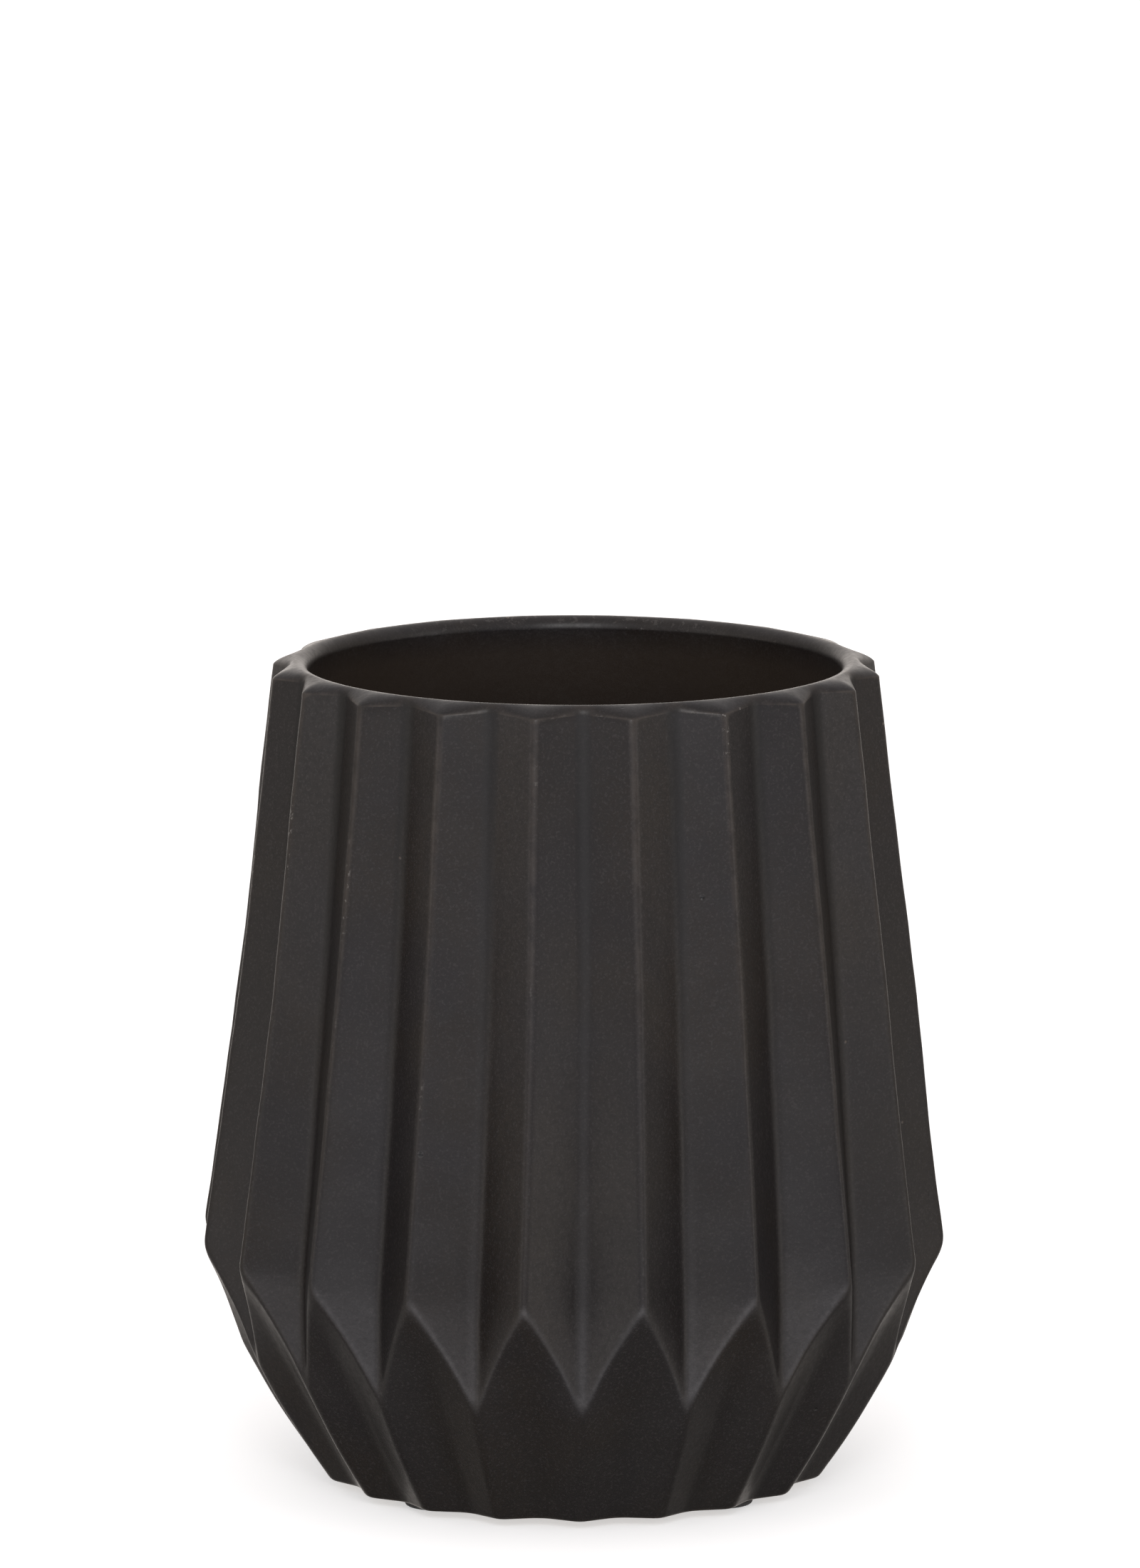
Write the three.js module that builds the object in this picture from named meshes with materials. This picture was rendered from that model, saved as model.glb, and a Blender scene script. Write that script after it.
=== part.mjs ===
// Empty candle jar: one pleated stoneware body on four small stick-on foot pads.
// Millimetres, +Z up, z = 0 on the surface the jar stands on, axis through the origin.
// The front groove of the upper pleats lies on -Y.
import * as THREE from 'three';

// ---------------------------------------------------------------- driving dimensions
const PLEATS = 20;            // pleats round the body
const HEIGHT = 100.0;         // to the rim's crest
const PAD_HEIGHT = 0.7;       // stick-on pad
const PAD_GAP = 0.3;          // glue film under the foot ring, kept open
const FOOT_Z = PAD_HEIGHT + PAD_GAP;

// rim
const CREST_R = 33.6;         // highest circle of the rounded rim
const MOUTH_R = 32.1;         // narrowest circle of the mouth
const MOUTH_Z = 98.45;
const RIM_RIDGE_R = 36.8;     // where a ridge meets the rim's shoulder
const RIM_RIDGE_Z = 98.6;
const RIM_GROOVE_R = 34.3;    // where a groove meets the rim's shoulder
const RIM_GROOVE_Z = 98.75;
const SHOULDER_POW_RIDGE = 1.48;
const SHOULDER_POW_GROOVE = 1.0;

// belly fold
const BELLY_RIDGE_R = 45.35;  // widest point, on a ridge
const BELLY_RIDGE_Z = 29.3;
const BELLY_GROOVE_R = 40.3;
const BELLY_GROOVE_Z = 29.1;
const TIP_R = 40.65;          // low tip of the zigzag fold
const TIP_Z = 17.2;

// lower body and foot
const FOOT_LOBE_R = 30.9;     // lower ridges, at the foot
const LOBE_SWELL_R = 36.2;    // the lower ridges swell a little between the tip and the foot
const LOBE_SWELL_Z = 9.0;
const FOOT_NOTCH_R = 29.2;    // lower grooves, at the foot
const FOOT_ROUND = 0.6;       // rounding of the foot's outer corner
const RING_IN_R = 19.6;       // flat foot ring, inner edge
const RECESS_R = 18.8;
const RECESS_DEPTH = 0.9;

// inside
const FLOOR_Z = 6.0;
const INSIDE = [              // [radius, height], from the mouth down to the floor
  [32.25, 95.0],
  [34.2, 60.0],
  [35.6, 33.0],
  [35.2, 24.0],
  [32.6, 14.5],
  [30.4, 10.6],
  [27.6, 7.6],
  [25.0, 6.3],
  [22.6, FLOOR_Z],
];

// edge softening of the pleats, as an angle either side of the edge
const RIDGE_HALF = 0.7;
const GROOVE_HALF = 1.5;

// pads
const PAD_COUNT = 4;
const PAD_R = 3.8;
const PAD_RING_R = 24.2;
const PAD_EDGE = 0.15;
const PAD_SIDES = 24;

// ---------------------------------------------------------------- helpers
const DEG = Math.PI / 180;
const HALF = 180 / PLEATS;    // half a pleat, degrees

// columns of one pleat, as [angle from the groove, share of the chord from ridge to groove]
const COLS = [];
for (let k = 0; k < PLEATS; k++) {
  const g = k * 2 * HALF;
  COLS.push({ a: g - GROOVE_HALF, s: HALF - GROOVE_HALF });
  COLS.push({ a: g + GROOVE_HALF, s: HALF - GROOVE_HALF });
  COLS.push({ a: g + HALF - RIDGE_HALF, s: RIDGE_HALF });
  COLS.push({ a: g + HALF + RIDGE_HALF, s: RIDGE_HALF });
}

// point at angle a (degrees, from -Y towards +X) and radius r
const at = (a, r, z) => [r * Math.sin(a * DEG), -r * Math.cos(a * DEG), z];

// ring that runs straight from a ridge [r, z] to a groove [r, z] and back
function pleated(ridge, groove) {
  const [rr, zr] = ridge, [rg, zg] = groove, h = HALF * DEG;
  const full = Math.sqrt(rr * rr + rg * rg - 2 * rr * rg * Math.cos(h));
  return COLS.map(({ a, s }) => {
    const q = s * DEG;
    const r = rr * rg * Math.sin(h) / (rr * Math.sin(q) + rg * Math.sin(h - q));
    const d = Math.sqrt(rr * rr + r * r - 2 * rr * r * Math.cos(q));
    return at(a, r, zr + (zg - zr) * d / full);
  });
}
const round = (r, z) => COLS.map(({ a }) => at(a, r, z));
const mix = (a, b, t) => a + (b - a) * t;

const dist = (p, a, b) => Math.hypot(p[3 * a] - p[3 * b], p[3 * a + 1] - p[3 * b + 1], p[3 * a + 2] - p[3 * b + 2]);

// closed surface through a list of rings, from the underside's centre to the floor's centre
function closed(rings, z0, z1) {
  const n = rings[0].length, pos = [], idx = [];
  rings.forEach((ring) => ring.forEach((p) => pos.push(...p)));
  const c0 = pos.length / 3; pos.push(0, 0, z0);
  const c1 = pos.length / 3; pos.push(0, 0, z1);
  const last = (rings.length - 1) * n;
  for (let j = 0; j < n; j++) {
    const k = (j + 1) % n;
    idx.push(c0, k, j);
    for (let i = 0; i < rings.length - 1; i++) {
      const a = i * n + j, b = i * n + k, c = a + n, d = b + n;
      // split along the shorter diagonal, so that both flanks of a pleat mirror each other
      if (dist(pos, a, d) <= dist(pos, b, c)) idx.push(a, b, d, a, d, c);
      else idx.push(a, b, c, b, d, c);
    }
    idx.push(last + j, last + k, c1);
  }
  const g = new THREE.BufferGeometry();
  g.setAttribute('position', new THREE.Float32BufferAttribute(pos, 3));
  g.setIndex(idx);
  g.computeVertexNormals();
  return g;
}

function mesh(name, geometry, color, roughness) {
  const m = new THREE.Mesh(geometry, new THREE.MeshStandardMaterial({ color, roughness, metalness: 0 }));
  m.name = name;
  return m;
}

// ---------------------------------------------------------------- body
const ridgeSlope = (BELLY_RIDGE_R - RIM_RIDGE_R) / (RIM_RIDGE_Z - BELLY_RIDGE_Z);
const grooveSlope = (BELLY_GROOVE_R - RIM_GROOVE_R) / (RIM_GROOVE_Z - BELLY_GROOVE_Z);
const notchSlope = (BELLY_RIDGE_R - FOOT_NOTCH_R) / (BELLY_RIDGE_Z - FOOT_Z);
const lobeSlope = (LOBE_SWELL_R - FOOT_LOBE_R) / (LOBE_SWELL_Z - FOOT_Z);
const upperRidge = (z) => [BELLY_RIDGE_R - ridgeSlope * (z - BELLY_RIDGE_Z), z];
const upperGroove = (z) => [BELLY_GROOVE_R - grooveSlope * (z - BELLY_GROOVE_Z), z];
const lowerNotch = (z) => [FOOT_NOTCH_R + notchSlope * (z - FOOT_Z), z];
const lowerLobe = (z) => [FOOT_LOBE_R + lobeSlope * (z - FOOT_Z), z];
const inset = ([r, z], d, dz) => [r - d, z + dz];

const rings = [];
// underside: recess, flat foot ring, rounded foot corner
rings.push(round(RECESS_R, FOOT_Z + RECESS_DEPTH));
rings.push(round(RING_IN_R, FOOT_Z));
rings.push(pleated(inset(lowerNotch(FOOT_Z), FOOT_ROUND, 0), inset(lowerLobe(FOOT_Z), FOOT_ROUND, 0)));
rings.push(pleated(inset(lowerNotch(FOOT_Z), 0.12, 0.18), inset(lowerLobe(FOOT_Z), 0.12, 0.18)));
rings.push(pleated(lowerNotch(FOOT_Z + FOOT_ROUND), lowerLobe(FOOT_Z + FOOT_ROUND)));
rings.push(pleated(lowerNotch(LOBE_SWELL_Z), [LOBE_SWELL_R, LOBE_SWELL_Z]));
rings.push(pleated(lowerNotch(17.5), [mix(LOBE_SWELL_R, TIP_R, 0.55), mix(LOBE_SWELL_Z, TIP_Z, 0.5)]));
// zigzag fold: just under the belly on a ridge, down at the tip on a groove
rings.push(pleated(lowerNotch(BELLY_RIDGE_Z - 1.7), [TIP_R, TIP_Z]));
// belly fold, softened over a short height
rings.push(pleated(lowerNotch(BELLY_RIDGE_Z - 1.0), [BELLY_GROOVE_R, BELLY_GROOVE_Z - 1.0]));
rings.push(pleated(upperRidge(BELLY_RIDGE_Z + 1.3), upperGroove(BELLY_GROOVE_Z + 1.3)));
rings.push(pleated(upperRidge(64.0), upperGroove(64.0)));
rings.push(pleated([RIM_RIDGE_R, RIM_RIDGE_Z], [RIM_GROOVE_R, RIM_GROOVE_Z]));
// rim: shoulder over each pleat, crest, rounded inner lip
for (const t of [60, 30]) {
  const s = Math.sin(t * DEG), c = Math.cos(t * DEG);
  const over = (r, z, p) => [
    mix(CREST_R, r, Math.pow(s, p)),
    mix(z, HEIGHT, Math.pow(c, p)),
  ];
  rings.push(pleated(over(RIM_RIDGE_R, RIM_RIDGE_Z, SHOULDER_POW_RIDGE),
    over(RIM_GROOVE_R, RIM_GROOVE_Z, SHOULDER_POW_GROOVE)));
}
rings.push(round(CREST_R, HEIGHT));
for (const t of [35, 65, 90]) {
  rings.push(round(mix(CREST_R, MOUTH_R, Math.sin(t * DEG)), mix(MOUTH_Z, HEIGHT, Math.cos(t * DEG))));
}
for (const [r, z] of INSIDE) rings.push(round(r, z));

const jar = new THREE.Group();
jar.name = 'empty_candle_jar';
jar.add(mesh('jar_body', closed(rings, FOOT_Z + RECESS_DEPTH, FLOOR_Z), 0x2b2928, 0.55));

// ---------------------------------------------------------------- foot pads
for (let k = 0; k < PAD_COUNT; k++) {
  const a0 = (360 / PAD_COUNT) * (k + 0.5) * DEG;
  const cx = PAD_RING_R * Math.sin(a0), cy = -PAD_RING_R * Math.cos(a0);
  const loop = (r, z) => Array.from({ length: PAD_SIDES }, (_, j) => {
    const q = (2 * Math.PI * j) / PAD_SIDES;
    return [r * Math.cos(q), r * Math.sin(q), z];
  });
  const g = closed([
    loop(PAD_R - PAD_EDGE, 0),
    loop(PAD_R, PAD_EDGE),
    loop(PAD_R, PAD_HEIGHT - PAD_EDGE),
    loop(PAD_R - PAD_EDGE, PAD_HEIGHT),
  ], 0, PAD_HEIGHT);
  g.translate(cx, cy, 0);
  jar.add(mesh(`foot_pad_${k + 1}`, g, 0x1a1a1b, 0.8));
}

export default jar;
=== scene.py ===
import math

import bpy
import numpy as np
from mathutils import Matrix, Vector


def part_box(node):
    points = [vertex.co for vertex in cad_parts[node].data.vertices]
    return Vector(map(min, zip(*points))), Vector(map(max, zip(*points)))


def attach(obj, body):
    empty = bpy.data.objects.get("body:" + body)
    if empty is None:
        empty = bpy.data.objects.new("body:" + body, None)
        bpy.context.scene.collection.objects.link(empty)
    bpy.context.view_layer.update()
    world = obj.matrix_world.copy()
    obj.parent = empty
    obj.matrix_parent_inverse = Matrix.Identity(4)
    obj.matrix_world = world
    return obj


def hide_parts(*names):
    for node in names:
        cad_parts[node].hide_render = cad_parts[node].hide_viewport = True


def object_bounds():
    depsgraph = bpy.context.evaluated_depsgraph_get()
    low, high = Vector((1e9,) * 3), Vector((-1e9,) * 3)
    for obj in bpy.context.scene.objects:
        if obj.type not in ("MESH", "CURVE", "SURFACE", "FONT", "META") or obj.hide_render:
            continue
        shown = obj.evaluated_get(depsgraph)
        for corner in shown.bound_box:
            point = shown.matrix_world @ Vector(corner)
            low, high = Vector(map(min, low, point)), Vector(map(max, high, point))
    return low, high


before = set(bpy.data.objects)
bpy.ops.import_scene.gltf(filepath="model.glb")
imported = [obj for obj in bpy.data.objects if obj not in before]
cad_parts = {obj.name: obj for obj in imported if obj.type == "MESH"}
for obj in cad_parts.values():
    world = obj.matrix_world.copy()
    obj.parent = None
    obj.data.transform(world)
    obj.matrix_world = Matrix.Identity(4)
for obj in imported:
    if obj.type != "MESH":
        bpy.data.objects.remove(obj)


def plain(box):
    return [[float(v) for v in corner] for corner in box]


CAD_BOX = plain(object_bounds())

MM = 0.001
RAD = math.pi / 180

# ------------------------------------------------------------------ dimensions, mm
N = 20                       # pleats
HALF = 180.0 / N             # half a pleat, degrees
TOP = CAD_BOX[1][2] / MM     # the rim's crest
FOOT_Z = 1.0                 # underside of the foot ring, on top of the pads

CREST_R = 33.6
MOUTH = (32.1, 98.45)
RIM_RIDGE = (36.8, 98.6)
RIM_GROOVE = (34.3, 98.75)
BELLY_RIDGE = (45.35, 29.3)
BELLY_GROOVE = (40.3, 29.1)
TIP = (40.65, 17.2)
FOOT_LOBE_R = 30.9
FOOT_NOTCH_R = 29.2
FOOT_FILLET = 0.6
RING_IN_R = 19.6
RECESS_R = 18.7
RECESS_DEPTH = 0.9
INSIDE = [
    (32.1, 98.45), (32.12, 97.2), (32.25, 95.0), (33.0, 80.0), (34.2, 60.0), (35.15, 42.0), (35.6, 33.0),
    (35.2, 24.0), (34.2, 18.6), (32.6, 14.5), (30.4, 10.6), (27.6, 7.6), (25.0, 6.35), (22.0, 6.0),
    (15.0, 5.9), (8.0, 5.85), (2.0, 5.85),
]

# half widths of the rounded pleat edges, mm of arc
RIDGE_W = 0.62
GROOVE_W = 1.05
LOW_FOLD_W = 0.95
LOW_RIDGE_W = 0.8
LOW_GROOVE_W = 1.5

# ------------------------------------------------------------------ pleated wall
RIDGE_SLOPE = (BELLY_RIDGE[0] - RIM_RIDGE[0]) / (RIM_RIDGE[1] - BELLY_RIDGE[1])
GROOVE_SLOPE = (BELLY_GROOVE[0] - RIM_GROOVE[0]) / (RIM_GROOVE[1] - BELLY_GROOVE[1])
NOTCH_SLOPE = (BELLY_RIDGE[0] - FOOT_NOTCH_R) / (BELLY_RIDGE[1] - FOOT_Z)
RIDGE_SAG = 0.2              # the ridges hang in a little at mid height
LOBE_BULGE = 0.0078          # the lobes swell a little between the foot and the tips
LOBE_SLOPE = (TIP[0] - FOOT_LOBE_R) / (TIP[1] - FOOT_Z) + LOBE_BULGE * (TIP[1] - FOOT_Z)


def ramp(x, w):
    """0 below, x above, rounded over about w either side."""
    return 0.5 * (x + np.sqrt(x * x + w * w))


def soft(s, w):
    """|s| with a round bottom of half width w."""
    w = np.maximum(w, 1e-6)
    s = np.abs(s)
    return np.where(s >= w, s, (s * s + w * w) / (2 * w))


def chord(rr, rg, s, w_ridge, w_groove):
    """Radius at s degrees from the ridge, on the straight line from ridge radius rr to groove radius rg.

    rr is where the rounded ridge ends up, so the sharp one stands a little outside it."""
    h = HALF * RAD
    per = RAD * 0.5 * (rr + rg)
    rr = rr + 0.5 * w_ridge / (RAD * rr) * RAD * rr * (rr - rg * math.cos(h)) / (rg * math.sin(h))
    s = soft(s, w_ridge / per)
    s = HALF - soft(HALF - s, w_groove / per)
    a = s * RAD
    return rr * rg * math.sin(h) / (rr * np.sin(a) + rg * np.sin(h - a))


def upper(sg, z, wr=RIDGE_W, wg=None):
    t = np.clip((z - BELLY_RIDGE[1]) / (RIM_RIDGE[1] - BELLY_RIDGE[1]), 0, 1)
    rr = BELLY_RIDGE[0] - RIDGE_SLOPE * ramp(z - BELLY_RIDGE[1], 0.8) - RIDGE_SAG * np.sin(math.pi * t)
    rg = BELLY_GROOVE[0] - GROOVE_SLOPE * ramp(z - BELLY_GROOVE[1], 1.2)
    if wg is None:
        wg = LOW_FOLD_W + (GROOVE_W - LOW_FOLD_W) * np.clip((z - 25.0) / 9.0, 0, 1)
    return chord(rr, rg, HALF - sg, wr, wg)


def lower(sg, z, wr=LOW_RIDGE_W, wg=LOW_GROOVE_W):
    low = np.minimum(z, 21.0) - FOOT_Z
    rr = FOOT_LOBE_R + LOBE_SLOPE * low - LOBE_BULGE * low ** 2
    rr = rr + (LOBE_SLOPE - 2 * LOBE_BULGE * (21.0 - FOOT_Z)) * np.maximum(z - 21.0, 0)
    rg = FOOT_NOTCH_R + NOTCH_SLOPE * (z - FOOT_Z)
    return chord(rr, rg, sg, wr, wg)


def crease(sg):
    """Height where the two stars cross."""
    lo, hi = np.full_like(sg, 10.0), np.full_like(sg, 34.0)
    for _ in range(50):
        mid = 0.5 * (lo + hi)
        under = lower(sg, mid, 0.05, 0.05) < upper(sg, mid, 0.05, 0.05)
        lo, hi = np.where(under, mid, lo), np.where(under, hi, mid)
    return 0.5 * (lo + hi)


def smin(a, b, k):
    h = np.clip(k - np.abs(a - b), 0, None) / k
    return np.minimum(a, b) - h * h * k * 0.25


def wall(sg, z):
    sr = HALF - sg
    k = 0.55 + 0.5 * np.exp(-(sr / 1.7) ** 2) + 0.25 * np.exp(-(sg / 1.3) ** 2)
    return smin(upper(sg, z), lower(sg, z), k)


def columns():
    half = [0, 0.3, 0.65, 1.05, 1.5, 2.05, 2.75, 3.6, 4.5, 5.4, 6.2, 6.9, 7.45, 7.9, 8.25, 8.55, 8.8]
    out = []
    for k in range(N):
        g = 2 * HALF * k
        out += [g + v for v in half] + [g + HALF] + [g + 2 * HALF - v for v in reversed(half[1:])]
    return np.array(out)


def grade(lo, hi, n, p):
    """n + 1 values from lo to hi, closer together near lo when p > 1."""
    return lo + (hi - lo) * np.linspace(0, 1, n + 1) ** p


def spline(points, n):
    """n + 1 points, evenly spaced, on a smooth curve through points."""
    p = np.array(points, float)
    p = np.vstack([2 * p[0] - p[1], p, 2 * p[-1] - p[-2]])
    d = np.sqrt(np.linalg.norm(np.diff(p, axis=0), axis=1))
    t = np.concatenate([[0], np.cumsum(d)])
    fine = []
    for i in range(1, len(p) - 2):
        for u in np.linspace(t[i], t[i + 1], 24, endpoint=False):
            a1 = (t[i] - u) / (t[i] - t[i - 1]) * p[i - 1] + (u - t[i - 1]) / (t[i] - t[i - 1]) * p[i]
            a2 = (t[i + 1] - u) / (t[i + 1] - t[i]) * p[i] + (u - t[i]) / (t[i + 1] - t[i]) * p[i + 1]
            a3 = (t[i + 2] - u) / (t[i + 2] - t[i + 1]) * p[i + 1] + (u - t[i + 1]) / (t[i + 2] - t[i + 1]) * p[i + 2]
            b1 = (t[i + 1] - u) / (t[i + 1] - t[i - 1]) * a1 + (u - t[i - 1]) / (t[i + 1] - t[i - 1]) * a2
            b2 = (t[i + 2] - u) / (t[i + 2] - t[i]) * a2 + (u - t[i]) / (t[i + 2] - t[i]) * a3
            fine.append((t[i + 1] - u) / (t[i + 1] - t[i]) * b1 + (u - t[i]) / (t[i + 1] - t[i]) * b2)
    fine.append(p[-2])
    fine = np.array(fine)
    run = np.concatenate([[0], np.cumsum(np.linalg.norm(np.diff(fine, axis=0), axis=1))])
    want = np.linspace(0, run[-1], n + 1)
    return np.stack([np.interp(want, run, fine[:, 0]), np.interp(want, run, fine[:, 1])], axis=1)


def wave(x, y, z, seed, terms=10, low=10.0, high=30.0):
    """A smooth random field of unit size, wavelengths low to high mm, the same each run."""
    rng = np.random.default_rng(seed)
    out = np.zeros_like(x)
    for _ in range(terms):
        d = rng.normal(size=3)
        d /= np.linalg.norm(d)
        f = 2 * math.pi / rng.uniform(low, high)
        out += np.sin(f * (d[0] * x + d[1] * y + d[2] * z) + rng.uniform(0, 2 * math.pi))
    return out / math.sqrt(terms / 2)


def jar_grid():
    a = columns()
    sg = np.abs((a + HALF) % (2 * HALF) - HALF)          # degrees from the upper groove
    ones = np.ones_like(a)
    rows, part = [], []

    def row(r, z, tag):
        rows.append((r * ones, z * ones))
        part.append(tag)

    # underside: recess, then the flat foot ring
    for r in (1.2, 6.0, 11.0, 15.5, 17.6):
        row(r, FOOT_Z + RECESS_DEPTH + 0.12 * (1 - (r / 18.0) ** 2), "recess")
    for u in np.linspace(0, 1, 6):
        q = 0.5 - 0.5 * math.cos(math.pi * u)
        row(RECESS_R - 0.35 + (RING_IN_R + 0.35 - RECESS_R + 0.0) * u, FOOT_Z + RECESS_DEPTH * (1 - q), "ring")
    foot = lower(sg, FOOT_Z * ones)
    for u in (0.3, 0.65, 0.9):
        row(RING_IN_R + (foot - FOOT_FILLET - RING_IN_R) * u, FOOT_Z, "ring")
    # foot corner, a fillet between the ring and the wall
    za = FOOT_Z + FOOT_FILLET
    ra = lower(sg, za * ones)
    for u in np.linspace(0, 1, 7):
        r = (1 - u) ** 2 * (foot - FOOT_FILLET * 0.9) + 2 * u * (1 - u) * foot + u * u * ra
        z = (1 - u) ** 2 * FOOT_Z + 2 * u * (1 - u) * FOOT_Z + u * u * za
        row(r, z, "foot")
    # lower wall up to the crease, upper wall from it
    zc = crease(sg)
    for v in (1 - grade(0, 1, 25, 1.75))[::-1][1:]:
        z = za + (zc - za) * v
        row(wall(sg, z), z, "low")
    z_top = 97.3
    for v in grade(0, 1, 41, 1.75)[1:]:
        z = zc + (z_top - zc) * v
        row(wall(sg, z), z, "up")
    # rim: shoulder over each pleat, crest, inner lip
    share = (sg / HALF)
    for z in (98.0,):
        row(wall(sg, z * ones), z, "up")
    for t in (86, 80, 73, 65, 56, 47, 38, 29, 20, 10):
        s, c = math.sin(t * RAD), math.cos(t * RAD)

        def over(rz, p):
            return CREST_R + (rz[0] - CREST_R) * s ** p, TOP + (rz[1] - TOP) * (1 - c ** p)

        rr, zr = over(RIM_RIDGE, 1.36)
        rg, zg = over(RIM_GROOVE, 1.0)
        r = chord(rr * ones, rg * ones, HALF - sg, RIDGE_W, GROOVE_W)
        w = (rr - r) / max(rr - rg, 1e-6)
        row(r, zr + (zg - zr) * w, "rim")
    row(CREST_R, TOP, "rim")
    for t in (14, 28, 42, 56, 70, 82):
        row(CREST_R + (MOUTH[0] - CREST_R) * math.sin(t * RAD), MOUTH[1] + (TOP - MOUTH[1]) * math.cos(t * RAD), "rim")
    for r, z in spline(INSIDE, 40):
        row(r, z, "inside")
    return a, sg, rows, part


def jar_mesh():
    a, sg, rows, part = jar_grid()
    m, n = len(rows), len(a)
    r = np.array([q[0] for q in rows])
    z = np.array([q[1] for q in rows])
    sin, cos = np.sin(a * RAD), np.cos(a * RAD)
    x, y = r * sin, -r * cos
    # a cast body is never quite true: a slow swell over the outside, less inside, none under the foot
    tag = np.array([{"recess": 0, "ring": 0, "foot": 0.35, "low": 1, "up": 1, "rim": 0.6, "inside": 0.5}[p] for p in part])[:, None]
    lift = 0.055 * wave(x, y, z, 11, 12, 14, 45) + 0.018 * wave(x, y, z, 12, 14, 5, 11)
    r = r + lift * tag
    lean = np.interp(z, [0, 10, 30, 45, 65, 85, 100], [-0.22, -0.26, -0.24, -0.08, 0.12, 0.05, 0.0])
    x, y = r * sin + lean, -r * cos
    co = np.stack([x, y, z], axis=-1)

    # curvature of the grid, for the glaze colour: lighter over sharp edges, where the glaze breaks, with a painted
    # highlight, and darker in the hollows, where it gathers, with painted shade
    du_f, du_b = np.roll(co, -1, 1) - co, co - np.roll(co, 1, 1)
    dv_f, dv_b = np.empty_like(co), np.empty_like(co)
    dv_f[:-1], dv_b[1:] = co[1:] - co[:-1], co[1:] - co[:-1]
    dv_f[-1], dv_b[0] = dv_b[-1], dv_f[0]
    tu, tv = du_f + du_b, dv_f + dv_b
    nrm = np.cross(tu, tv)
    nrm /= np.maximum(np.linalg.norm(nrm, axis=-1, keepdims=True), 1e-9)

    def bend(f, b):
        lf = np.maximum(np.linalg.norm(f, axis=-1, keepdims=True), 1e-5)
        lb = np.maximum(np.linalg.norm(b, axis=-1, keepdims=True), 1e-5)
        second = 2 * (f / lf - b / lb) / (lf + lb)
        return -(second * nrm).sum(-1)

    ku, kv = bend(du_f, du_b), bend(dv_f, dv_b)
    ku[part.index("rim") - 0] *= 1.0
    convex = np.clip(np.maximum(ku, kv), 0, 3.0)
    hollow = np.clip(np.maximum(-ku, -kv), 0, 3.0)
    bare = np.array([{"recess": 0.0, "ring": 1.0, "foot": 0.0}.get(p, 0.0) for p in part])[:, None] * np.ones_like(r)
    # painted light inside the mouth: none on the lip, full a few mm down, half as much 14 mm lower
    painted_inside_light = np.clip((TOP - 1.2 - z) / 4.0, 0, 1) * np.array([1.0 if p == "inside" else 0.0 for p in part])[:, None]
    painted_inside_light = painted_inside_light * (1 - 0.5 * np.clip((96.0 - z) / 14.0, 0, 1))

    verts = co.reshape(-1, 3)
    i, j = np.meshgrid(np.arange(m - 1), np.arange(n), indexing="ij")
    k = (j + 1) % n
    quads = np.stack([i * n + j, i * n + k, (i + 1) * n + k, (i + 1) * n + j], axis=-1).reshape(-1, 4)
    c0, c1 = len(verts), len(verts) + 1
    verts = np.vstack([verts, [[0, 0, z[0].mean()]], [[0, 0, z[-1].mean()]]]) * MM
    jj = np.arange(n)
    kk = (jj + 1) % n
    last = (m - 1) * n
    tris = np.vstack([np.stack([np.full(n, c0), kk, jj], -1), np.stack([last + jj, last + kk, np.full(n, c1)], -1)])
    mesh = bpy.data.meshes.new("jar")
    mesh.from_pydata(verts.tolist(), [], quads.tolist() + tris.tolist())
    for name, field in (("edge", convex), ("pooled_glaze_and_shade", hollow), ("bare", bare), ("painted_inside_light", painted_inside_light)):
        att = mesh.attributes.new(name, "FLOAT", "POINT")
        att.data.foreach_set("value", np.concatenate([field.reshape(-1), [0.0, field[-1].mean()]]).astype(np.float32))
    mesh.polygons.foreach_set("use_smooth", np.ones(len(mesh.polygons), bool))
    mesh.update()
    mesh.validate()
    return mesh


def add(name, mesh, material):
    ob = bpy.data.objects.new(name, mesh)
    bpy.context.scene.collection.objects.link(ob)
    if material:
        mesh.materials.append(material)
    return ob


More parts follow.
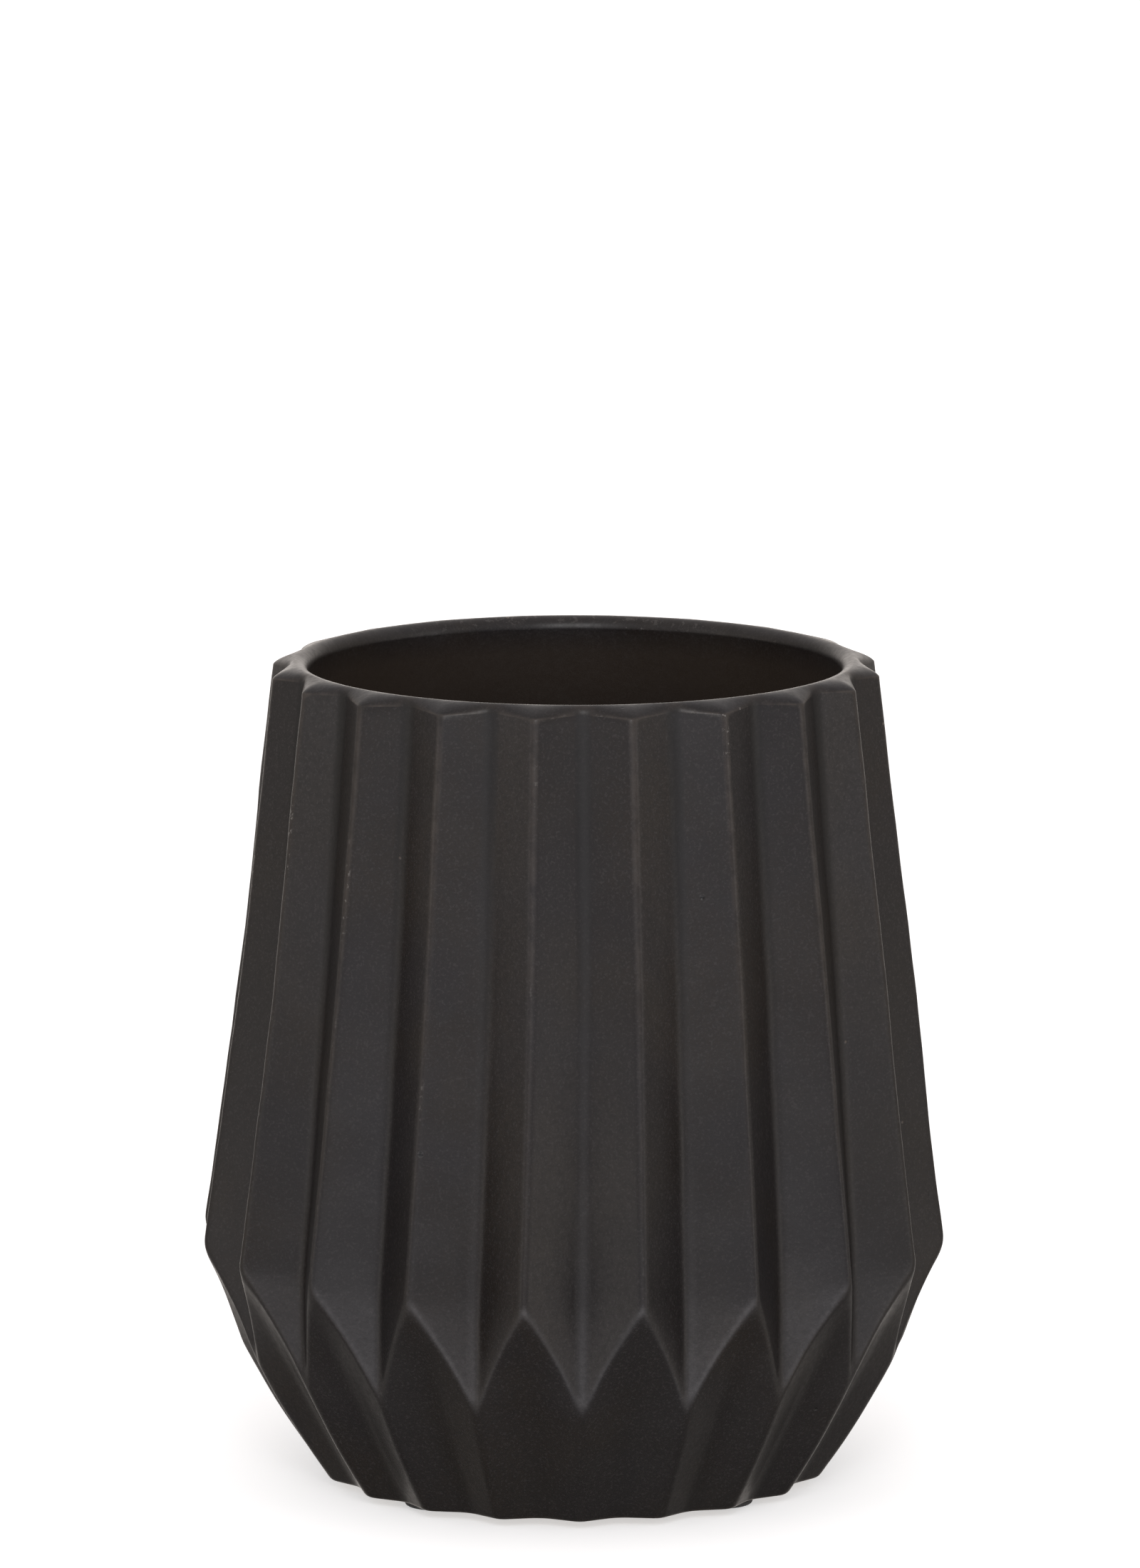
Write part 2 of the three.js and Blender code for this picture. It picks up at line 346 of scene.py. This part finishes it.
# ------------------------------------------------------------------ material helpers
class Nodes:
    def __init__(self, name):
        self.m = bpy.data.materials.new(name)
        self.m.use_nodes = True
        self.t = self.m.node_tree
        self.t.nodes.clear()
        self.out = self.t.nodes.new("ShaderNodeOutputMaterial")
        self.bsdf = self.t.nodes.new("ShaderNodeBsdfPrincipled")
        self.t.links.new(self.bsdf.outputs[0], self.out.inputs["Surface"])
        self.coord = self.t.nodes.new("ShaderNodeTexCoord").outputs["Object"]

    def put(self, value, socket):
        if isinstance(value, bpy.types.NodeSocket):
            self.t.links.new(value, socket)
        elif hasattr(socket.default_value, "__len__") and not hasattr(value, "__len__"):
            socket.default_value = [value] * len(socket.default_value)
        elif hasattr(value, "__len__") and len(value) == 3 and len(socket.default_value) == 4:
            socket.default_value = (*value, 1.0)
        else:
            socket.default_value = value

    def noise(self, scale, detail=2.0, rough=0.5, at=None, distortion=0.0):
        n = self.t.nodes.new("ShaderNodeTexNoise")
        n.inputs["Scale"].default_value = scale
        n.inputs["Detail"].default_value = detail
        n.inputs["Roughness"].default_value = rough
        n.inputs["Distortion"].default_value = distortion
        self.t.links.new(at if at is not None else self.coord, n.inputs["Vector"])
        return n.outputs["Fac"]

    def cells(self, scale, at=None):
        n = self.t.nodes.new("ShaderNodeTexVoronoi")
        n.inputs["Scale"].default_value = scale
        self.t.links.new(at if at is not None else self.coord, n.inputs["Vector"])
        return n.outputs["Distance"], n.outputs["Color"]

    def span(self, value, a, b, c=0.0, d=1.0, smooth=True):
        n = self.t.nodes.new("ShaderNodeMapRange")
        n.interpolation_type = "SMOOTHSTEP" if smooth else "LINEAR"
        n.clamp = True
        self.put(value, n.inputs["Value"])
        for key, v in (("From Min", a), ("From Max", b), ("To Min", c), ("To Max", d)):
            self.put(v, n.inputs[key])
        return n.outputs["Result"]

    def math(self, op, a, b=0.0):
        n = self.t.nodes.new("ShaderNodeMath")
        n.operation = op
        self.put(a, n.inputs[0])
        self.put(b, n.inputs[1])
        return n.outputs[0]

    def mix(self, fac, a, b, mode="MIX"):
        n = self.t.nodes.new("ShaderNodeMix")
        n.data_type = "RGBA"
        n.blend_type = mode
        self.put(fac, n.inputs["Factor"])
        self.put(a, n.inputs[6])
        self.put(b, n.inputs[7])
        return n.outputs[2]

    def attribute(self, name):
        n = self.t.nodes.new("ShaderNodeAttribute")
        n.attribute_name = name
        return n.outputs["Fac"]

    def separate(self, value):
        n = self.t.nodes.new("ShaderNodeSeparateXYZ")
        self.put(value, n.inputs[0])
        return n.outputs

    def vmath(self, op, a, b=(0, 0, 0)):
        n = self.t.nodes.new("ShaderNodeVectorMath")
        n.operation = op
        self.put(a, n.inputs[0])
        self.put(b, n.inputs[1])
        return n.outputs["Value"] if op in ("LENGTH", "DISTANCE", "DOT_PRODUCT") else n.outputs["Vector"]

    def bump(self, height, distance, strength=1.0, normal=None):
        n = self.t.nodes.new("ShaderNodeBump")
        n.inputs["Strength"].default_value = strength
        n.inputs["Distance"].default_value = distance
        self.put(height, n.inputs["Height"])
        if normal is not None:
            self.put(normal, n.inputs["Normal"])
        return n.outputs["Normal"]


def glaze_material():
    k = Nodes("black_glaze")
    edge, pooled_glaze_and_shade, bare, painted_inside_light = (k.attribute(v) for v in ("edge", "pooled_glaze_and_shade", "bare", "painted_inside_light"))

    # cloudy body of the glaze: warm brown-black with cooler, faintly violet patches
    cloud = k.noise(55.0, 3.0, 0.55)
    drift = k.noise(21.0, 2.0, 0.5, distortion=0.4)
    grain = k.noise(1500.0, 2.0, 0.6)
    fine = k.noise(3300.0, 2.0, 0.6)
    base = k.mix(k.span(cloud, 0.36, 0.64), (0.0112, 0.0078, 0.0058), (0.0088, 0.0070, 0.0078))
    base = k.mix(k.span(drift, 0.38, 0.66, 0.0, 0.55), base, (0.0110, 0.0094, 0.0088))
    base = k.mix(k.span(grain, 0.40, 0.70, 0.0, 0.40), base, (0.0040, 0.0036, 0.0034))
    base = k.mix(k.span(fine, 0.50, 0.72, 0.0, 0.55), base, (0.030, 0.026, 0.026))
    # painted shade: darker towards the bottom, most below the belly, where the overhang shades the wall
    run = k.span(k.separate(k.coord)[2], 0.028, 0.085)
    base = k.mix(k.math("SUBTRACT", 0.20, k.math("MULTIPLY", run, 0.20)), base, (0.0030, 0.0026, 0.0026))
    # lighter over sharp edges: the glaze breaks there and the brown clay shows through, and a painted highlight runs
    # along the ridges
    glaze_break_and_highlight = k.math("MULTIPLY", k.span(edge, 0.35, 1.25), k.span(k.noise(420.0, 3.0, 0.6), 0.30, 0.66, 0.25, 1.0))
    base = k.mix(k.math("MULTIPLY", glaze_break_and_highlight, 0.6), base, (0.056, 0.046, 0.039))
    # darker in the hollows: the glaze lies thick there, and painted shade darkens the creases
    base = k.mix(k.span(pooled_glaze_and_shade, 0.06, 0.5, 0.0, 0.8), base, (0.0022, 0.0020, 0.0020))
    # painted light inside the mouth: lighter and browner just below the rim, half as much further down
    base = k.mix(k.math("MULTIPLY", painted_inside_light, 0.85), base, (0.040, 0.0305, 0.0235))

    # light nicks here and there along the ridges
    nick = k.math("MULTIPLY", k.span(edge, 0.5, 1.0), k.span(k.noise(1150.0, 3.0, 0.7), 0.58, 0.63))
    nick = k.math("MULTIPLY", nick, k.span(k.noise(48.0, 1.0), 0.54, 0.62))
    base = k.mix(k.math("MULTIPLY", nick, 0.8), base, (0.15, 0.14, 0.13))

    # pinholes and stray grains
    d1, c1 = k.cells(210.0)
    pick1 = k.span(k.separate(c1)[0], 0.90, 0.91, 0.0, 1.0, smooth=False)
    hole = k.math("MULTIPLY", k.span(d1, 0.035, 0.085, 1.0, 0.0), pick1)
    d2, c2 = k.cells(260.0, k.vmath("ADD", k.coord, (0.37, 0.11, 0.29)))
    pick2 = k.span(k.separate(c2)[1], 0.955, 0.96, 0.0, 1.0, smooth=False)
    speck = k.math("MULTIPLY", k.span(d2, 0.03, 0.08, 1.0, 0.0), pick2)
    base = k.mix(hole, base, (0.003, 0.003, 0.003))
    base = k.mix(k.math("MULTIPLY", speck, 0.8), base, (0.105, 0.085, 0.070))

    # bare clay on the wiped foot ring
    clay_mask = k.span(k.math("ADD", bare, k.math("MULTIPLY", k.math("SUBTRACT", k.noise(160.0, 3.0), 0.5), 0.5)), 0.45, 0.6)
    clay = k.mix(k.noise(900.0, 3.0, 0.65), (0.115, 0.088, 0.068), (0.185, 0.150, 0.122))
    base = k.mix(clay_mask, base, clay)
    k.put(base, k.bsdf.inputs["Base Color"])

    rough = k.span(k.noise(90.0, 3.0, 0.6), 0.3, 0.7, 0.30, 0.37)
    rough = k.math("ADD", rough, k.span(grain, 0.35, 0.7, -0.02, 0.05))
    rough = k.math("ADD", rough, k.span(pooled_glaze_and_shade, 0.06, 0.5, 0.0, 0.10))
    rough = k.math("ADD", rough, k.math("MULTIPLY", clay_mask, 0.42))
    k.put(rough, k.bsdf.inputs["Roughness"])
    k.bsdf.inputs["IOR"].default_value = 1.40
    k.bsdf.inputs["Metallic"].default_value = 0.0

    n1 = k.bump(k.noise(260.0, 2.0, 0.5), 0.00006, 0.55)
    n2 = k.bump(grain, 0.000030, 0.55, n1)
    n3 = k.bump(k.math("SUBTRACT", speck, hole), 0.00010, 0.8, n2)
    k.put(n3, k.bsdf.inputs["Normal"])
    return k.m


def rubber_material():
    k = Nodes("pad_rubber")
    grain = k.noise(2400.0, 3.0, 0.6)
    base = k.mix(k.span(k.noise(300.0, 2.0), 0.3, 0.7), (0.020, 0.020, 0.021), (0.032, 0.031, 0.031))
    base = k.mix(k.span(grain, 0.55, 0.75, 0.0, 0.4), base, (0.055, 0.054, 0.053))
    k.put(base, k.bsdf.inputs["Base Color"])
    k.put(k.span(grain, 0.3, 0.7, 0.62, 0.80), k.bsdf.inputs["Roughness"])
    k.put(k.bump(grain, 0.00003, 0.6), k.bsdf.inputs["Normal"])
    return k.m


def floor_material():
    k = Nodes("studio_floor")
    k.put(k.mix(k.span(k.noise(3.0, 2.0), 0.3, 0.7), (0.90, 0.90, 0.895), (0.92, 0.92, 0.915)), k.bsdf.inputs["Base Color"])
    k.bsdf.inputs["Roughness"].default_value = 0.9
    k.bsdf.inputs["IOR"].default_value = 1.2
    k.bsdf.inputs["Emission Color"].default_value = (1.0, 1.0, 1.0, 1.0)
    k.bsdf.inputs["Emission Strength"].default_value = 0.50      # lit from below
    return k.m


# ------------------------------------------------------------------ pieces
glaze, rubber = glaze_material(), rubber_material()

jar = add("jar_body_glazed", jar_mesh(), glaze)
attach(jar, "root")
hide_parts("jar_body")


def pad_mesh(name, low, high):
    """A die-cut stick-on foot: a soft-edged disc, its face faintly crowned, and its film of glue on top."""
    cx, cy = 0.5 * (low[0] + high[0]), 0.5 * (low[1] + high[1])
    r = 0.5 * (high[0] - low[0])
    top = high[2]
    prof = [(0.30 * r, low[2]), (0.62 * r, low[2]), (0.84 * r, low[2]), (0.925 * r, low[2] + 0.00001),
            (0.965 * r, low[2] + 0.00005), (0.99 * r, low[2] + 0.00013), (r, low[2] + 0.00024),
            (r, top - 0.00014), (0.992 * r, top - 0.00005), (0.97 * r, top), (0.955 * r, top),
            (0.95 * r, top + 0.00004), (0.95 * r, top + 0.00024), (0.94 * r, top + 0.00027), (0.6 * r, top + 0.00027),
            (0.25 * r, top + 0.00027)]
    sides = 72
    verts, faces = [], []
    for pr, pz in prof:
        for s in range(sides):
            q = 2 * math.pi * s / sides
            verts.append((cx + pr * math.cos(q), cy + pr * math.sin(q), pz))
    for i in range(len(prof) - 1):
        for s in range(sides):
            t = (s + 1) % sides
            faces.append((i * sides + s, i * sides + t, (i + 1) * sides + t, (i + 1) * sides + s))
    c0 = len(verts)
    verts.append((cx, cy, prof[0][1]))
    verts.append((cx, cy, prof[-1][1]))
    last = (len(prof) - 1) * sides
    for s in range(sides):
        t = (s + 1) % sides
        faces.append((c0, t, s))
        faces.append((last + s, last + t, c0 + 1))
    mesh = bpy.data.meshes.new(name)
    mesh.from_pydata(verts, [], faces)
    mesh.polygons.foreach_set("use_smooth", [True] * len(mesh.polygons))
    mesh.update()
    return mesh


for i in range(1, 5):
    low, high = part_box(f"foot_pad_{i}")
    pad = add(f"foot_pad_{i}_rubber", pad_mesh(f"pad_{i}", low, high), rubber)
    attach(pad, "root")
    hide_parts(f"foot_pad_{i}")

# ------------------------------------------------------------------ stage
def disc(name, rings, sides=96):
    """A flat or standing sheet of revolution through rings of (radius, height), in metres."""
    verts, faces = [(0.0, 0.0, rings[0][1])], []
    for r, z in rings:
        verts += [(r * math.cos(2 * math.pi * q / sides), r * math.sin(2 * math.pi * q / sides), z) for q in range(sides)]
    for q in range(sides):
        t = (q + 1) % sides
        faces.append((0, 1 + q, 1 + t))
        for i in range(len(rings) - 1):
            a = 1 + i * sides
            faces.append((a + q, a + q + sides, a + t + sides, a + t))
    mesh = bpy.data.meshes.new(name)
    mesh.from_pydata(verts, [], faces)
    return mesh


# the table is a matt white sheet; the glaze doesn't mirror it
floor = add("studio_floor", disc("floor", [(0.3, 0.0), (1.0, 0.0), (3.0, 0.0), (9.0, 0.0)]), floor_material())
floor.visible_glossy = False

# white paper hung all round it, far off; it only closes the view and takes no part in the lighting
paper = Nodes("studio_paper")
paper.bsdf.inputs["Base Color"].default_value = (0.9, 0.9, 0.9, 1.0)
paper.bsdf.inputs["Roughness"].default_value = 0.9
paper.bsdf.inputs["Emission Color"].default_value = (1.0, 1.0, 1.0, 1.0)
paper.bsdf.inputs["Emission Strength"].default_value = 1.0
backdrop = add("studio_backdrop", disc("backdrop", [(3.7, 3.6), (4.0, 3.2), (4.0, -0.02)]), paper.m)
for ray in ("diffuse", "glossy", "transmission", "volume_scatter", "shadow"):
    setattr(backdrop, "visible_" + ray, False)

scene = bpy.context.scene
scene.view_settings.view_transform = "Standard"
scene.view_settings.look = "None"

ZENITH = 0.74
# brightness of the tent at table height, by how far behind the jar: -1 is straight in front, 1 straight behind
TENT = [(-1.0, 0.84), (-0.9, 0.84), (-0.7, 0.56), (-0.43, 1.42), (-0.17, 0.84), (0.17, 0.52), (0.5, 0.38), (0.74, 0.34),
        (0.90, 0.90), (1.0, 1.75)]
COOL, WARM = (1.0, 0.968, 1.0), (1.04, 0.965, 0.905)      # the front is cooler than the sides and back
CAM_AZ = -1.54               # degrees from -Y towards +X


def around(az, el, dist, centre=(0, 0, 0.05)):
    """A point at azimuth az from the camera's side, elevation el, in metres."""
    q, e = (CAM_AZ + az) * RAD, el * RAD
    return Vector((centre[0] + dist * math.cos(e) * math.sin(q), centre[1] - dist * math.cos(e) * math.cos(q), centre[2] + dist * math.sin(e)))


def softbox(name, where, target, width, height, watts, colour=(1, 1, 1), spread=None):
    data = bpy.data.lights.new(name, "AREA")
    data.shape = "RECTANGLE"
    data.size, data.size_y = width, height
    data.energy = watts
    data.color = colour
    if spread:
        data.spread = spread * RAD
    ob = bpy.data.objects.new(name, data)
    scene.collection.objects.link(ob)
    ob.location = where
    ob.rotation_euler = (Vector(target) - Vector(where)).to_track_quat("-Z", "Y").to_euler()
    return ob


softbox("key", around(66, 14, 1.5), (0, 0, 0.06), 0.22, 0.9, 0.35)
softbox("top", around(0, 32, 1.4), (0, 0, 0.09), 0.42, 0.6, 4.2)

# a tent of soft light: brightest overhead, open behind, dimmer from the sides and from in front
world = bpy.data.worlds.new("studio")
scene.world = world
world.use_nodes = True
tree = world.node_tree
bg = tree.nodes["Background"]


def w_span(value, a, b, c, d):
    n = tree.nodes.new("ShaderNodeMapRange")
    n.interpolation_type = "SMOOTHSTEP"
    for key, v in (("Value", value), ("From Min", a), ("From Max", b), ("To Min", c), ("To Max", d)):
        if isinstance(v, bpy.types.NodeSocket):
            tree.links.new(v, n.inputs[key])
        else:
            n.inputs[key].default_value = v
    return n.outputs["Result"]


axes = tree.nodes.new("ShaderNodeSeparateXYZ")
tree.links.new(tree.nodes.new("ShaderNodeTexCoord").outputs["Generated"], axes.inputs[0])
share = tree.nodes.new("ShaderNodeMapRange")
share.inputs["From Min"].default_value = -1.0
tree.links.new(axes.outputs["Y"], share.inputs["Value"])
curve = tree.nodes.new("ShaderNodeValToRGB")
while len(curve.color_ramp.elements) < len(TENT):
    curve.color_ramp.elements.new(0.5)
for e, (y, v) in zip(curve.color_ramp.elements, TENT):
    e.position = 0.5 + 0.5 * y
for e, (y, v) in zip(curve.color_ramp.elements, TENT):
    e.position, e.color = 0.5 + 0.5 * y, (v, v, v, 1.0)
hue = tree.nodes.new("ShaderNodeMix")
hue.data_type = "RGBA"
hue.inputs[6].default_value, hue.inputs[7].default_value = (*COOL, 1.0), (*WARM, 1.0)
warm = w_span(axes.outputs["Y"], -0.85, -0.1, 0.0, 1.0)
tree.links.new(w_span(axes.outputs["Z"], 0.25, 0.65, warm, 0.25), hue.inputs["Factor"])
tree.links.new(hue.outputs[2], bg.inputs["Color"])
tree.links.new(share.outputs["Result"], curve.inputs["Fac"])
# a little more from the right than from the left
tilt = w_span(axes.outputs["X"], -1.0, 1.0, 1.0, 0.98)
level = tree.nodes.new("ShaderNodeMath")
level.operation = "MULTIPLY"
tree.links.new(curve.outputs["Color"], level.inputs[0])
tree.links.new(tilt, level.inputs[1])
# darker under the jar, brightest overhead
ahead = w_span(axes.outputs["Y"], -0.85, -0.35, 3.9, 1.0)
near = w_span(axes.outputs["Z"], -0.34, -0.08, ahead, 1.0)
under = w_span(axes.outputs["Z"], -0.84, -0.46, 0.27, near)
low = tree.nodes.new("ShaderNodeMath")
low.operation = "MULTIPLY"
tree.links.new(level.outputs[0], low.inputs[0])
tree.links.new(under, low.inputs[1])
tent = w_span(axes.outputs["Z"], 0.18, 0.75, low.outputs[0], ZENITH)
tree.links.new(tent, bg.inputs["Strength"])

# ------------------------------------------------------------------ camera
PITCH, DISTANCE, LENS = 9.98, 1.202, 315.0
cam_data = bpy.data.cameras.new("camera")
cam_data.lens = LENS
cam_data.sensor_width = 36.0
cam_data.sensor_fit = "HORIZONTAL"
cam_data.clip_start, cam_data.clip_end = 0.05, 60.0
cam = bpy.data.objects.new("camera", cam_data)
scene.collection.objects.link(cam)
scene.camera = cam
q, p = CAM_AZ * RAD, PITCH * RAD
right = Vector((math.cos(q), math.sin(q), 0))
forward = Vector((-math.sin(q) * math.cos(p), math.cos(q) * math.cos(p), -math.sin(p)))
aim = Vector((0, 0, 0.08473)) + right * -0.000605
cam.location = aim - forward * DISTANCE
up = right.cross(forward)
cam.rotation_euler = Matrix((right, up, -forward)).transposed().to_euler()
